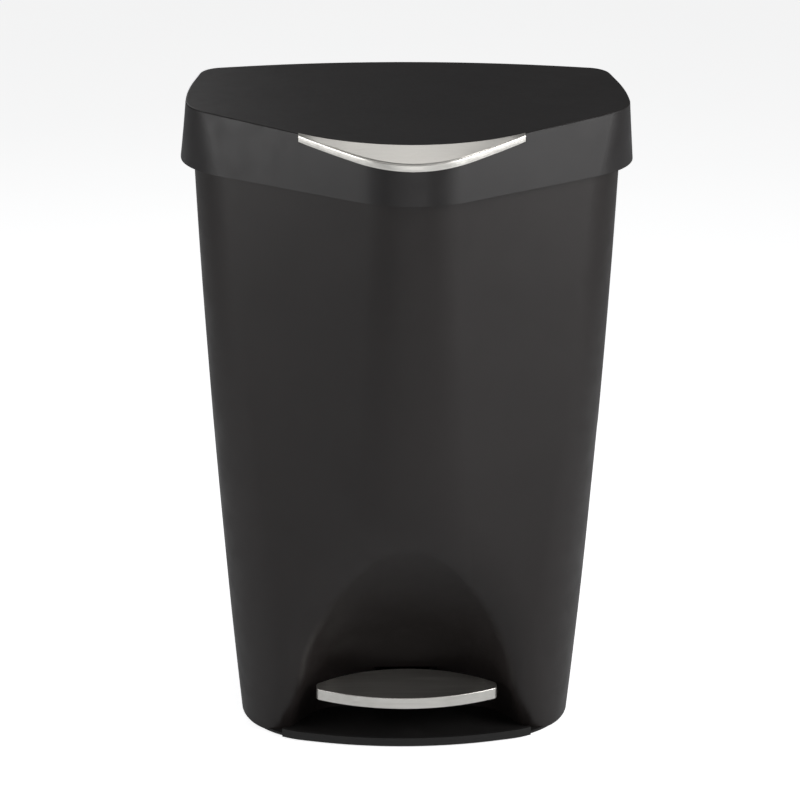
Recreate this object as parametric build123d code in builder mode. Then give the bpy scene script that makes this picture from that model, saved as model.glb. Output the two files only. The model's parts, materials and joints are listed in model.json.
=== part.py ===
from build123d import *
import math
import os

# Step-on waste bin: a tapered plastic body with a toe recess, a hinged lid with a metal
# hand grip, and a foot pedal that lifts the lid through a push rod behind the body.
# Millimetres.  +Z is up, the pedal faces -Y, and the origin is under the middle of the lid.

# ---------------------------------------------------------------- driving dimensions
lid_width = 508.0            # across the lid's lower edge
lid_depth = 340.0            # front to back at the lid's lower edge
lid_height = 79.5            # from the skirt's lower edge to the top at the back
lid_tilt = 3.88              # degrees that the lid's top falls towards the front
lid_edge_z = 654.0           # lower edge of the lid's skirt
lid_wall = 3.0
lid_crease = 1.6             # rounding between the lid's top and its skirt
lid_gap = 15.0               # plan distance from the skirt's lower edge in to the body

body_width_foot = 382.0      # across the body at the floor
body_depth_foot = 271.0      # front to back at the floor
body_bulge = 4.7             # how far the sides bow out of a straight taper
body_wall = 2.6
body_foot_round = 2.2
rim_rise = 28.0              # top of the body above the skirt's lower edge
rim_width = 8.0
rim_thickness = 3.0
foot_height = 2.0            # rubber feet, and the gap under the body
foot_pad_r = 11.0
bin_floor_z = 81.0           # inside floor that the waste bag stands on
bin_floor_thickness = 3.0

recess_side = 60.0           # from the body's side at the floor in to the toe recess's widest
recess_height = 288.0        # height of the recess's half ellipse on its front plane
recess_lead = 14.5           # front plane of that ellipse, in front of the body
recess_narrowing = 33.0      # how much less its half width is at the back
recess_back_height = 80.0
recess_back_gap = 10.0       # from the pad back to the recess's back wall
recess_flare = 36.0          # how far the recess spreads at the floor
recess_flare_z = 48.0        # height at which the spread has died out
recess_crop = 0.6            # the spread stays this much inside the ellipse

tray_thickness = 3.0
tray_lip_top = 12.0
tray_lip_wall = 4.0
tray_gap = 1.0

channel_half_width = 13.0    # groove down the back of the body for the push rod
channel_room = 8.0           # from the push rod forward to the channel's wall
channel_cover_drop = 48.0    # top of the channel's cover below the hinge
channel_cover_wall = 2.4
fit_gap = 0.2                # between pieces that are fixed together

hinge_set_back = 5.0         # hinge axis behind the body's back wall
hinge_drop = 6.0             # hinge axis below the skirt's lower edge
hinge_rod_r = 3.0
hinge_hub_r = 5.5
lid_ear_x = 68.0             # middle of each moulded lid ear
lid_ear_width = 8.0
bracket_x = 90.0             # middle of each hinge bracket
bracket_hub_width = 12.0
bracket_plate_width = 30.0
bracket_plate_height = 30.0
bracket_plate_thickness = 3.5
bracket_screw_drop = 9.8     # bracket screws below the hinge axis
bracket_screw_step = 10.0    # bracket screws to each side of its middle
hinge_cap_r = 5.0
hinge_cap_length = 2.5
lid_opens = 80.0             # degrees

crank_radius = 22.0          # hinge axis to crank pin
crank_pin_r = 2.5
crank_cheek = 4.0
crank_boss_r = 4.5
rod_r = 2.5
guide_height = 10.0
guide_lower_rise = 109.0     # lower rod guide above the bin's floor
guide_upper_drop = 40.0      # upper rod guide below the top of the channel's cover
run_gap = 0.06               # radial clearance of a running fit
free_gap = 0.5               # between pieces that move past each other
press_gap = 0.02             # radial clearance of a tight fit inside one body

pivot_set_back = 35.0        # pedal pivot behind the recess's back wall
pivot_z = 40.0
axle_r = 4.0
bush_wall = 2.0
bush_flange_r = 8.5
bush_flange = 1.8
hub_r = 10.0
hub_half = 43.5
post_width = 10.0
post_r = 12.0
clip_thickness = 1.5
clip_r = 8.0
pedal_plate_half = 30.0
pedal_plate_thickness = 5.0
pedal_rib = 4.0
pedal_arm_half = 4.0
arm_end_r = 5.0              # round rear end of the pedal lever

pad_side = 27.0              # from the recess's widest in to the pad's end
pad_set_back = 20.5          # pad's front behind the body's front
pad_depth = 80.0
pad_front_bow = 27.112       # how far the pad's front edge falls back to its ends
pad_back_bow = 39.386
pad_end_round = 6.5
pad_bottom_z = 45.0
pad_thickness = 13.0
pad_edge = 1.2
pad_skin = 1.5
pad_screw_half = 20.0

grip_half_width = 121.0
grip_set_back = 31.0         # middle of the grip's inner edge behind the lid's front
grip_end_depth = 3.0         # depth of the grip's face at its ends
grip_slope = 21.3            # degrees that the grip falls below the lid's top
grip_lip = 8.0               # height of the grip's front band
grip_overhang = 3.6
grip_screw_band = 15.0       # depth of the grip where its side screws are
grip_screw_set = 4.3         # those screws in front of its inner edge
grip_fit = 0.1

bumper_r = 4.5
bumper_height = 4.0
bumper_gap = 0.3             # between a closed lid's bumper and the rim

screw_r = 2.0
screw_head_r = 4.0
screw_head = 1.6
screw_boss_r = 5.5
hole_gap = 0.1               # between a screw and its hole

os.makedirs("parts", exist_ok=True)

# ---------------------------------------------------------------- derived values
tilt_tan = math.tan(math.radians(lid_tilt))
lid_top_back = lid_edge_z + lid_height
rim_z = lid_edge_z + rim_rise
rim_low = rim_z - rim_thickness
floor_under = bin_floor_z - bin_floor_thickness
tray_top = foot_height + tray_thickness

foot_half_width = body_width_foot / 2
foot_half_depth = body_depth_foot / 2
recess_half_width = foot_half_width - recess_side
recess_back_half_width = recess_half_width - recess_narrowing
recess_front_y = -foot_half_depth - recess_lead
pad_half_width = recess_half_width - pad_side
pad_front_y = -foot_half_depth + pad_set_back
pad_back_y = pad_front_y + pad_depth
pad_top_z = pad_bottom_z + pad_thickness
pad_front_r = (pad_half_width ** 2 + pad_front_bow ** 2) / (2 * pad_front_bow)
pad_back_r = (pad_half_width ** 2 + pad_back_bow ** 2) / (2 * pad_back_bow)
recess_back_y = pad_back_y + recess_back_gap


def lid_top_z(y):
    """Height of the lid's flat top at a place y."""
    return lid_top_back + (y - 0.48 * lid_depth) * tilt_tan


# ---------------------------------------------------------------- plan outlines
def mirrored(half):
    """Closed outline, clockwise from the middle of the back, from its right half."""
    left = [(-x, y, r) for x, y, r in reversed(half[1:-1])]
    return list(half) + left


def inset(points, distance):
    """The outline with every side moved inwards; the corner radii shrink with it."""
    moved = []
    for i, (x, y, r) in enumerate(points):
        before = points[i - 1]
        after = points[(i + 1) % len(points)]
        entry = Vector(x - before[0], y - before[1]).normalized()
        leave = Vector(after[0] - x, after[1] - y).normalized()
        side_a = Vector(entry.Y, -entry.X)
        side_b = Vector(leave.Y, -leave.X)
        step = (side_a + side_b) * (distance / (1 + side_a.dot(side_b)))
        moved.append((x + step.X, y + step.Y, r - distance))
    return moved


def corner(points, i):
    """Tangent of half the turn at a point of an outline, and the lengths of its two sides."""
    x, y, _ = points[i]
    before = points[i - 1]
    after = points[(i + 1) % len(points)]
    entry = Vector(x - before[0], y - before[1])
    leave = Vector(after[0] - x, after[1] - y)
    turn = math.radians(entry.get_angle(leave))
    return math.tan(turn / 2), (entry.length, leave.length)


def scaled(half, width, depth, base_width, base_depth):
    """A half outline stretched from its base size; each rounding keeps its share of its sides."""
    base = mirrored(half)
    shape = [(x * width / base_width, y * depth / base_depth, r) for x, y, r in base]
    points = []
    for i, (x, y, r) in enumerate(shape):
        base_tan, base_sides = corner(base, i)
        tan, sides = corner(shape, i)
        share = min(side / base_side for side, base_side in zip(sides, base_sides))
        points.append((x, y, r * base_tan * share / tan))
    return points


LID_EDGE = scaled(
    [(0, 188.2, 1000), (238.5, 142.5, 35), (255.5, 62, 200), (247.5, -17, 105), (0, -192.2, 98.5)],
    lid_width, lid_depth, 508, 340)
LID_TOP = scaled(
    [(0, 182, 1000), (229.7, 137.6, 28), (245.5, 56, 360), (245.5, -10, 55), (0, -188.5, 100)],
    lid_width, lid_depth, 508, 340)
BODY_FOOT = scaled(
    [(0, 161, 700), (180, 126.3, 25), (191.5, 40, 160), (189, -90, 98), (0, -137, 440)],
    body_width_foot, body_depth_foot, 382, 271)
BODY_TOP = inset(
    scaled([(0, 188.2, 1000), (238.5, 142.5, 35), (255.5, 62, 160), (247.5, -17, 103), (0, -192.2, 98.5)],
           lid_width, lid_depth, 508, 340),
    lid_gap)


def body_outline(z):
    """Outside of the body at height z: a straight taper with a slight bow in the sides."""
    t = z / lid_edge_z
    bow = 4 * body_bulge * t * (1 - t)
    points = []
    for low, high in zip(BODY_FOOT, BODY_TOP):
        x, y, r = (a + (b - a) * t for a, b in zip(low, high))
        points.append((x + math.copysign(bow, x) if abs(x) > 1 else x, y, r))
    nose = len(points) // 2
    nose_y = points[nose][1]
    slope = math.atan2(points[nose - 1][1] - nose_y, points[nose - 1][0])
    low_gap = BODY_FOOT[nose][2] * (1 / math.cos(math.atan2(
        BODY_FOOT[nose - 1][1] - BODY_FOOT[nose][1], BODY_FOOT[nose - 1][0])) - 1)
    high_gap = BODY_TOP[nose][2] * (1 / math.cos(math.atan2(
        BODY_TOP[nose - 1][1] - BODY_TOP[nose][1], BODY_TOP[nose - 1][0])) - 1)
    gap = low_gap + (high_gap - low_gap) * t
    points[nose] = (0, nose_y, gap / (1 / math.cos(slope) - 1))
    return points


def back_y(z, x=0.0):
    """Outside of the body's back wall at height z, near its middle."""
    top = body_outline(z)[0]
    corner = body_outline(z)[1]
    slope = math.atan2(top[1] - corner[1], corner[0])
    return top[1] - top[2] * (1 / math.cos(slope) - 1) - x * x / (2 * top[2])


hinge_z = lid_edge_z - hinge_drop
hinge_y = round(back_y(hinge_z)) + hinge_set_back
hinge_rod_half = bracket_x + bracket_hub_width / 2 + hinge_cap_length + 2.5
bracket_screw_z = hinge_z - bracket_screw_drop
rod_y = hinge_y - crank_radius
channel_front_y = rod_y - channel_room
channel_cover_top = hinge_z - channel_cover_drop
pivot_y = recess_back_y + pivot_set_back
half_stroke = crank_radius * math.sin(math.radians(lid_opens / 2))
stroke = 2 * half_stroke
pedal_half_turn = math.degrees(math.asin(half_stroke / (rod_y - pivot_y)))
crank_pin_y = hinge_y - crank_radius * math.cos(math.radians(lid_opens / 2))
crank_pin_z = hinge_z - half_stroke
rod_pin_z = pivot_z - half_stroke
rod_bottom_z = pivot_z


def face_of(points, mode=Mode.ADD):
    """Fill the current sketch with an outline of straight sides and round corners."""
    with BuildLine() as border:
        FilletPolyline(*[(x, y) for x, y, r in points], radius=[r for x, y, r in points], close=True)
    make_face(border.edges(), mode=mode)


def body_solid(z_low, z_high, distance):
    """The body's form between two heights, moved inwards by a distance."""
    levels = [z_low + (z_high - z_low) * i / 4 for i in range(5)]
    if z_high - z_low < 120:
        levels = [z_low, z_high]
    with BuildPart() as form:
        for z in levels:
            with BuildSketch(Plane.XY.offset(z)):
                face_of(inset(body_outline(z), distance))
        loft()
    return form.part


def lid_solid(z_low, distance, drop):
    """The lid's form from a height up to its sloping top, moved inwards and downwards."""
    edge = inset(LID_EDGE, distance)
    top = inset(LID_TOP, distance)
    low = []
    for (ex, ey, er), (tx, ty, tr) in zip(edge, top):
        t = (z_low - lid_edge_z) / (lid_top_z(ty) - lid_edge_z)
        low.append((ex + (tx - ex) * t, ey + (ty - ey) * t, er + (tr - er) * t))
    top_plane = Plane(
        origin=(0, 0, lid_top_z(0) - drop), x_dir=(1, 0, 0), z_dir=(0, -tilt_tan, 1))
    with BuildPart() as form:
        with BuildSketch(Plane.XY.offset(z_low)):
            face_of(low)
        with BuildSketch(top_plane):
            face_of(top)
        loft(ruled=True)
    return form.part


def block(x, y, z):
    """A box between two x, two y and two z values."""
    size = (x[1] - x[0], y[1] - y[0], z[1] - z[0])
    middle = ((x[0] + x[1]) / 2, (y[0] + y[1]) / 2, (z[0] + z[1]) / 2)
    return Pos(*middle) * Box(*size, mode=Mode.PRIVATE)


def bar_x(x, y, z, r):
    """A round bar along X between two x values."""
    return Pos((x[0] + x[1]) / 2, y, z) * Rot(0, 90, 0) * Cylinder(r, x[1] - x[0], mode=Mode.PRIVATE)


def bar_y(x, y, z, r):
    """A round bar along Y between two y values."""
    return Pos(x, (y[0] + y[1]) / 2, z) * Rot(90, 0, 0) * Cylinder(r, y[1] - y[0], mode=Mode.PRIVATE)


def bar_z(x, y, z, r):
    """A round bar along Z between two z values."""
    return Pos(x, y, (z[0] + z[1]) / 2) * Cylinder(r, z[1] - z[0], mode=Mode.PRIVATE)


def save(builder, name):
    """Label a finished piece and write its file."""
    builder.part.label = name
    export_step(builder.part, f"parts/{name}.step")


# ---------------------------------------------------------------- toe recess
def recess_at(y, z, grow=0.0):
    """Half width of the recess's ellipse at a depth y and a height z."""
    t = (y - recess_front_y) / (recess_back_y - recess_front_y)
    wide = recess_half_width + (recess_back_half_width - recess_half_width) * t + grow
    high = recess_height + (recess_back_height - recess_height) * t + grow
    return wide * math.sqrt(max(0.0, 1 - (z / high) ** 2))


def foot_side(z, grow=0.0):
    """Right side of the recess near the floor, from front to back, at height z."""
    t = 1 - (z - foot_height) / (recess_flare_z - foot_height)
    side = []
    for y, share in ((pad_front_y - 55, 1.0), (pad_front_y + 18, 1.0), (pad_back_y - 40, 0.62),
                     (pad_back_y - 10, 0.24), (recess_back_y + grow, 0.12)):
        side.append((recess_at(y, z, grow) - recess_crop + recess_flare * share * t, y))
    return side


def foot_face(z, grow=0.0, mode=Mode.ADD):
    """Plan of the recess near the floor at height z."""
    side = foot_side(z, grow)
    other = [(-x, y) for x, y in reversed(side)]
    with BuildLine() as border:
        Spline(*side)
        Line(side[-1], other[0])
        Spline(*other)
        Line(other[-1], side[0])
    make_face(border.edges(), mode=mode)


def recess_solid(grow):
    """The space of the toe recess, made larger by a wall."""
    with BuildPart() as form:
        with BuildSketch(Plane.XZ.offset(-recess_front_y)):
            Ellipse(recess_half_width + grow, recess_height + grow)
        with BuildSketch(Plane.XZ.offset(-recess_back_y - grow)):
            Ellipse(recess_back_half_width + grow, recess_back_height + grow)
        loft(ruled=True)
        for z in (foot_height - 1, recess_flare_z):
            with BuildSketch(Plane.XY.offset(z)):
                foot_face(z, grow)
        loft(ruled=True)
    return form.part


# ---------------------------------------------------------------- body
channel_wall_x = channel_half_width + body_wall
channel_back = lid_depth

bracket_screws = [side * bracket_x + step for side in (-1, 1)
                  for step in (-bracket_screw_step, bracket_screw_step)]
screw_places = ((foot_half_width - 43, foot_half_depth - 57.5), (foot_half_width - 41, pivot_y - 22))
base_screws = [(side * x, y) for side in (-1, 1) for x, y in screw_places]

liner_low = tray_top + fit_gap
channel_liner = block((-channel_wall_x, channel_wall_x), (channel_front_y - body_wall, channel_back),
                      (liner_low, rim_z + 5))

with BuildPart() as recess_liner:
    add(recess_solid(body_wall))
    add(block((-lid_width, lid_width), (-lid_depth, lid_depth), (-lid_depth, liner_low)),
        mode=Mode.SUBTRACT)

# the bin, over its floor and round the recess and the channel
with BuildPart() as bin_space:
    add(body_solid(bin_floor_z, rim_low, body_wall))
    with BuildSketch(Plane.XY.offset(rim_low - 1)):
        face_of(inset(body_outline(rim_low), rim_width))
    extrude(amount=rim_thickness + 2)
    add(recess_liner.part, mode=Mode.SUBTRACT)
    add(channel_liner, mode=Mode.SUBTRACT)

# the space under the floor that holds the pedal lever
with BuildPart() as base_space:
    add(body_solid(foot_height - 1, floor_under, body_wall))
    add(recess_liner.part, mode=Mode.SUBTRACT)
    add(channel_liner, mode=Mode.SUBTRACT)
    for x, y in base_screws:
        add(bar_z(x, y, (liner_low, bin_floor_z), screw_boss_r), mode=Mode.SUBTRACT)

with BuildPart() as body_shell:
    add(body_solid(foot_height, rim_low, 0))
    fillet(body_shell.faces().sort_by(Axis.Z)[0].edges(), body_foot_round)
    with BuildSketch(Plane.XY.offset(rim_low)):
        face_of(body_outline(rim_low))
    extrude(amount=rim_thickness)
    add(bin_space.part, mode=Mode.SUBTRACT)
    add(base_space.part, mode=Mode.SUBTRACT)
    add(recess_solid(0), mode=Mode.SUBTRACT)
    # rod channel, open to the back, and its window for the pedal arm
    add(block((-channel_half_width, channel_half_width), (channel_front_y, channel_back),
              (0, rim_z + 5)), mode=Mode.SUBTRACT)
    add(block((-pedal_arm_half - 4, pedal_arm_half + 4), (channel_front_y - body_wall - 1, channel_front_y + 1),
              (0, floor_under)), mode=Mode.SUBTRACT)
    # window for the pedal lever in the recess's back wall
    add(block((-pedal_plate_half - 8, pedal_plate_half + 8), (recess_back_y - 8, recess_back_y + 8),
              (0, pad_top_z)), mode=Mode.SUBTRACT)
    # bosses for the hinge bracket screws
    for x in bracket_screws:
        y_wall = back_y(hinge_z, x)
        add(bar_y(x, (y_wall - 12, y_wall - 1), bracket_screw_z, screw_boss_r))
        add(bar_y(x, (y_wall - 11, y_wall + 5), bracket_screw_z, screw_r + hole_gap), mode=Mode.SUBTRACT)
    for x, y in base_screws:
        add(bar_z(x, y, (0, 24), screw_r + hole_gap), mode=Mode.SUBTRACT)
save(body_shell, "body_shell")

cover_low = tray_top + 1


def cover_y(z):
    """Outer face of the channel cover at height z, just inside the back wall."""
    share = (z - cover_low) / (channel_cover_top - cover_low)
    return back_y(cover_low) + (back_y(channel_cover_top) - back_y(cover_low)) * share - fit_gap


with BuildPart() as channel_cover:
    ends = [(cover_y(z), z) for z in (cover_low, channel_cover_top)]
    with BuildSketch(Plane.YZ.offset(-channel_half_width + fit_gap)):
        with BuildLine():
            Polyline(ends[0], ends[1], (ends[1][0] - channel_cover_wall, ends[1][1]),
                     (ends[0][0] - channel_cover_wall, ends[0][1]), close=True)
        make_face()
    extrude(amount=2 * (channel_half_width - fit_gap))
save(channel_cover, "rod_channel_cover")

# ---------------------------------------------------------------- base tray, feet and screws
post_inner = hub_half + free_gap + bush_flange
post_outer = post_inner + post_width
foot_places = ((foot_half_width - 53, foot_half_depth - 37.5), (foot_half_width - 79, 67.5 - foot_half_depth))
feet = [(side * x, y) for side in (-1, 1) for x, y in foot_places]

with BuildSketch(Plane.XY.offset(foot_height)) as tray_front:
    face_of(body_outline(tray_lip_top))
    foot_face(tray_lip_top, -tray_gap, Mode.INTERSECT)

with BuildSketch(Plane.XY.offset(foot_height)) as tray_lip:
    add(tray_front.sketch)
    face_of(inset(body_outline(tray_lip_top), tray_lip_wall), Mode.SUBTRACT)

with BuildPart() as base_tray:
    with BuildSketch(Plane.XY.offset(foot_height)):
        face_of(inset(body_outline(foot_height), body_wall + fit_gap))
        add(tray_front.sketch)
    extrude(amount=tray_thickness)
    with BuildSketch(Plane.XY.offset(foot_height)):
        add(tray_lip.sketch)
    extrude(amount=tray_lip_top - foot_height)
    for side in (-1, 1):
        xs = sorted((side * post_inner, side * post_outer))
        add(block(xs, (pivot_y - post_r, pivot_y + post_r), (tray_top - 1, pivot_z)))
        add(bar_x(xs, pivot_y, pivot_z, post_r))
        add(bar_x(xs, pivot_y, pivot_z, axle_r + bush_wall + hole_gap), mode=Mode.SUBTRACT)
    add(block((-channel_wall_x - fit_gap, channel_wall_x + fit_gap),
              (channel_front_y - body_wall - fit_gap, channel_back), (0, tray_top + 1)), mode=Mode.SUBTRACT)
    for x, y in base_screws:
        add(bar_z(x, y, (0, tray_top + 1), screw_r + hole_gap), mode=Mode.SUBTRACT)
        add(bar_z(x, y, (0, foot_height + screw_head), screw_head_r + hole_gap), mode=Mode.SUBTRACT)
save(base_tray, "base_tray")

with BuildPart() as rubber_feet:
    for x, y in feet:
        add(bar_z(x, y, (0, foot_height), foot_pad_r))
    fillet(rubber_feet.edges().group_by(Axis.Z)[0], 0.6)
save(rubber_feet, "rubber_feet")

with BuildPart() as tray_screws:
    for x, y in base_screws:
        add(bar_z(x, y, (foot_height + 0.2, foot_height + screw_head - 0.1), screw_head_r))
        add(bar_z(x, y, (foot_height + 0.2, 22), screw_r))
save(tray_screws, "tray_screws")

# ---------------------------------------------------------------- pedal pivot
with BuildPart() as pedal_axle:
    add(bar_x((-post_outer - 6, post_outer + 6), pivot_y, pivot_z, axle_r))
    chamfer(pedal_axle.edges(), 0.6)
save(pedal_axle, "pedal_axle")

for side, name in ((-1, "axle_bush_left"), (1, "axle_bush_right")):
    tube = sorted((side * (post_inner - bush_flange), side * post_outer))
    flange = sorted((side * (post_inner - bush_flange), side * post_inner))
    with BuildPart() as bush:
        add(bar_x(tube, pivot_y, pivot_z, axle_r + bush_wall))
        add(bar_x(flange, pivot_y, pivot_z, bush_flange_r))
        add(bar_x(tube, pivot_y, pivot_z, axle_r + run_gap), mode=Mode.SUBTRACT)
    save(bush, name)

with BuildPart() as axle_clips:
    for side in (-1, 1):
        clip = sorted((side * (post_outer + 0.5), side * (post_outer + 0.5 + clip_thickness)))
        add(bar_x(clip, pivot_y, pivot_z, clip_r))
        add(bar_x(clip, pivot_y, pivot_z, axle_r + press_gap), mode=Mode.SUBTRACT)
save(axle_clips, "axle_clips")

# ---------------------------------------------------------------- pedal
plate_front_y = pad_front_y + 22
pad_screws = [(side * pad_screw_half, y) for side in (-1, 1) for y in (pad_front_y + 31, pad_back_y - 15)]
slot_half = 3.0              # free travel of the open lower pivot along the arm

with BuildPart() as pedal_lever:
    add(block((-pedal_plate_half, pedal_plate_half), (plate_front_y, pivot_y),
              (pad_bottom_z - pedal_plate_thickness, pad_bottom_z)))
    for side in (-1, 1):
        rib = sorted((side * (pedal_plate_half - pedal_rib), side * pedal_plate_half))
        add(block(rib, (recess_back_y - 14, pivot_y), (pivot_z - 7, pad_bottom_z - 1)))
    add(bar_x((-hub_half, hub_half), pivot_y, pivot_z, hub_r))
    with BuildSketch(Plane.YZ.offset(-pedal_arm_half)):
        with BuildLine():
            Polyline((pivot_y, pivot_z + 8), (rod_y, rod_pin_z + arm_end_r), (rod_y, rod_pin_z - arm_end_r),
                     (pivot_y, pivot_z - 8), close=True)
        make_face()
    extrude(amount=2 * pedal_arm_half)
    add(bar_x((-pedal_arm_half, pedal_arm_half), rod_y, rod_pin_z, arm_end_r))
    add(bar_x((-hub_half - 1, hub_half + 1), pivot_y, pivot_z, axle_r + run_gap), mode=Mode.SUBTRACT)
    # slotted hole for the rod's lower pin
    with BuildSketch(Plane.YZ.offset(-pedal_arm_half - 1)):
        with Locations((rod_y - 0.5, rod_pin_z)):
            SlotCenterToCenter(slot_half, 2 * (crank_pin_r + free_gap))
    extrude(amount=2 * pedal_arm_half + 2, mode=Mode.SUBTRACT)
    for x, y in pad_screws:
        add(bar_z(x, y, (0, pad_bottom_z + 1), screw_r + hole_gap), mode=Mode.SUBTRACT)
save(pedal_lever, "pedal_lever")


def pad_face(distance):
    """Lens-shaped plan of the pedal pad, moved inwards by a distance."""
    half = pad_half_width - distance
    front_r = pad_front_r - distance
    back_r = pad_back_r - distance
    front = pad_front_y + distance
    back = pad_back_y - distance
    front_end = front + front_r - math.sqrt(front_r ** 2 - half ** 2)
    back_end = back - back_r + math.sqrt(back_r ** 2 - half ** 2)
    with BuildLine() as border:
        ThreePointArc((-half, front_end), (0, front), (half, front_end))
        Line((half, front_end), (half, back_end))
        ThreePointArc((half, back_end), (0, back), (-half, back_end))
        Line((-half, back_end), (-half, front_end))
    make_face(border.edges())


with BuildPart() as pedal_pad:
    with BuildSketch(Plane.XY.offset(pad_bottom_z)):
        pad_face(0)
    extrude(amount=pad_thickness)
    fillet(pedal_pad.edges().filter_by(Axis.Z), pad_end_round)
    fillet(pedal_pad.faces().sort_by(Axis.Z)[-1].edges(), pad_edge)
    with BuildSketch(Plane.XY.offset(pad_bottom_z)):
        pad_face(pad_skin)
    extrude(amount=pad_thickness - pad_skin, mode=Mode.SUBTRACT)
save(pedal_pad, "pedal_pad")

with BuildPart() as pedal_pad_core:
    with BuildSketch(Plane.XY.offset(pad_bottom_z)):
        pad_face(pad_skin + 0.15)
    extrude(amount=pad_top_z - pad_skin - 0.1 - pad_bottom_z)
    for x, y in pad_screws:
        add(bar_z(x, y, (0, pad_bottom_z + 7), screw_r + hole_gap), mode=Mode.SUBTRACT)
save(pedal_pad_core, "pedal_pad_core")

with BuildPart() as pedal_pad_screws:
    under = pad_bottom_z - pedal_plate_thickness
    for x, y in pad_screws:
        add(bar_z(x, y, (under - screw_head, under), screw_head_r))
        add(bar_z(x, y, (under - screw_head, pad_bottom_z + 6), screw_r))
save(pedal_pad_screws, "pedal_pad_screws")

# ---------------------------------------------------------------- push rod
head_low = crank_pin_z - 11
head_half = crank_cheek + 1.5

# the crank pin strays from an even rise by this much, so the rod's slot is open by more
crank_stray = max(abs(math.sin(math.radians(lid_opens / 2 * i / 50)) * crank_radius - half_stroke * i / 50)
                  for i in range(51))
slot_play = crank_stray + 0.44

with BuildPart() as push_rod:
    add(bar_z(0, rod_y, (rod_bottom_z, head_low + 8), rod_r))
save(push_rod, "push_rod")

with BuildPart() as rod_head:
    add(block((-head_half, head_half), (channel_front_y + 1.5, rod_y + 8), (head_low, crank_pin_z + 8)))
    fillet(rod_head.edges().filter_by(Axis.X), 2)
    add(block((-head_half - 1, head_half + 1), (rod_y - crank_pin_r - free_gap - 0.4, rod_y + 10),
              (crank_pin_z - crank_pin_r - slot_play, crank_pin_z + crank_pin_r + slot_play)),
        mode=Mode.SUBTRACT)
    add(bar_z(0, rod_y, (head_low - 1, head_low + 8), rod_r + press_gap), mode=Mode.SUBTRACT)
save(rod_head, "push_rod_head")

cheek_in = pedal_arm_half + free_gap
cheek_out = channel_half_width - 3
with BuildPart() as rod_foot:
    add(block((-cheek_out, cheek_out), (rod_y - 7, rod_y + 4.5), (rod_pin_z - 7, rod_bottom_z + 12)))
    fillet(rod_foot.edges().filter_by(Axis.X), 2)
    add(block((-cheek_in, cheek_in), (rod_y - 10, rod_y + 10), (rod_pin_z - 8, rod_bottom_z - 2.5)),
        mode=Mode.SUBTRACT)
    add(bar_z(0, rod_y, (rod_bottom_z, rod_bottom_z + 13), rod_r + press_gap), mode=Mode.SUBTRACT)
    add(bar_x((-cheek_out - 1, cheek_out + 1), rod_y, rod_pin_z, crank_pin_r + press_gap),
        mode=Mode.SUBTRACT)
save(rod_foot, "push_rod_foot")

with BuildPart() as rod_foot_pin:
    add(bar_x((-cheek_out, cheek_out), rod_y, rod_pin_z, crank_pin_r))
save(rod_foot_pin, "push_rod_foot_pin")

guides = (("rod_guide_lower", bin_floor_z + guide_lower_rise),
          ("rod_guide_upper", channel_cover_top - guide_upper_drop))
for name, z in guides:
    low = z - guide_height / 2
    with BuildPart() as guide:
        add(block((-channel_half_width + fit_gap, channel_half_width - fit_gap),
                  (channel_front_y, cover_y(low) - channel_cover_wall - fit_gap), (low, low + guide_height)))
        fillet(guide.edges().filter_by(Axis.Z), 1)
        add(bar_z(0, rod_y, (low - 1, low + guide_height + 1), rod_r + run_gap), mode=Mode.SUBTRACT)
    save(guide, name)

# ---------------------------------------------------------------- lid
grip_arc_front = -lid_depth / 2 + grip_set_back
(side_x, side_y, _), (nose_x, nose_y, _) = LID_TOP[3], LID_TOP[4]
grip_end_y = nose_y + (side_y - nose_y) * grip_half_width / side_x + grip_end_depth
grip_sag = grip_end_y - grip_arc_front
grip_arc_r = (grip_half_width ** 2 + grip_sag ** 2) / (2 * grip_sag)

lid_hollow = lid_solid(lid_edge_z - 54, lid_wall, lid_wall)
top_frame = Plane(origin=(0, grip_arc_front + grip_arc_r, lid_top_z(grip_arc_front + grip_arc_r)),
                  x_dir=(1, 0, 0), z_dir=(0, -tilt_tan, 1))
grip_reach = grip_arc_r + 90
grip_tan = math.tan(math.radians(grip_slope))
grip_fall = (grip_reach - grip_arc_r) * grip_tan


def grip_ring(over, under, grow=0.0):
    """Sloping ring under the grip: from its face (or above it) down to its underside."""
    with BuildPart() as form:
        with BuildSketch(Plane(top_frame.origin, x_dir=(1, 0, 0), z_dir=-top_frame.y_dir)):
            with BuildLine():
                Polyline((grip_arc_r - grow, over), (grip_reach, over if over else -grip_fall),
                         (grip_reach, -grip_fall - under), (grip_arc_r - grow, -under), close=True)
            make_face()
        revolve(axis=Axis(top_frame.origin, top_frame.z_dir), revolution_arc=360)
    return form.part


front_zone = block((-grip_half_width, grip_half_width), (-lid_depth, 0), (lid_edge_z - 54, lid_top_back + 70))
grip_pocket = grip_ring(30, grip_lip) & front_zone


def rim_middle(x, front):
    """Place on the middle of the body's rim, in front or behind, at a given x."""
    points = inset(body_outline(rim_z), rim_width / 2)
    if front:
        (ax, ay, _), (bx, by, _) = points[3], points[4]
        return ay + (by - ay) * (abs(x) - ax) / (bx - ax)
    return back_y(rim_z, abs(x)) - rim_width / 2


bumper_places = [(side * 110, rim_middle(110, True)) for side in (-1, 1)]
bumper_places += [(side * 150, rim_middle(150, False)) for side in (-1, 1)]
bumper_low = rim_z + bumper_gap
bumper_high = bumper_low + bumper_height


def grip_arc_y(x):
    """Inner edge of the grip's face at a place x."""
    return grip_arc_front + grip_arc_r - math.sqrt(grip_arc_r ** 2 - x ** 2)


grip_screw_x = max(x for x in range(int(grip_half_width))
                   if grip_arc_y(x) - (nose_y + (side_y - nose_y) * x / side_x) >= grip_screw_band)
side_screw_y = grip_arc_y(grip_screw_x) - grip_screw_set
handle_screws = [(0, grip_arc_front - 12), (-grip_screw_x, side_screw_y), (grip_screw_x, side_screw_y)]


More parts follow.
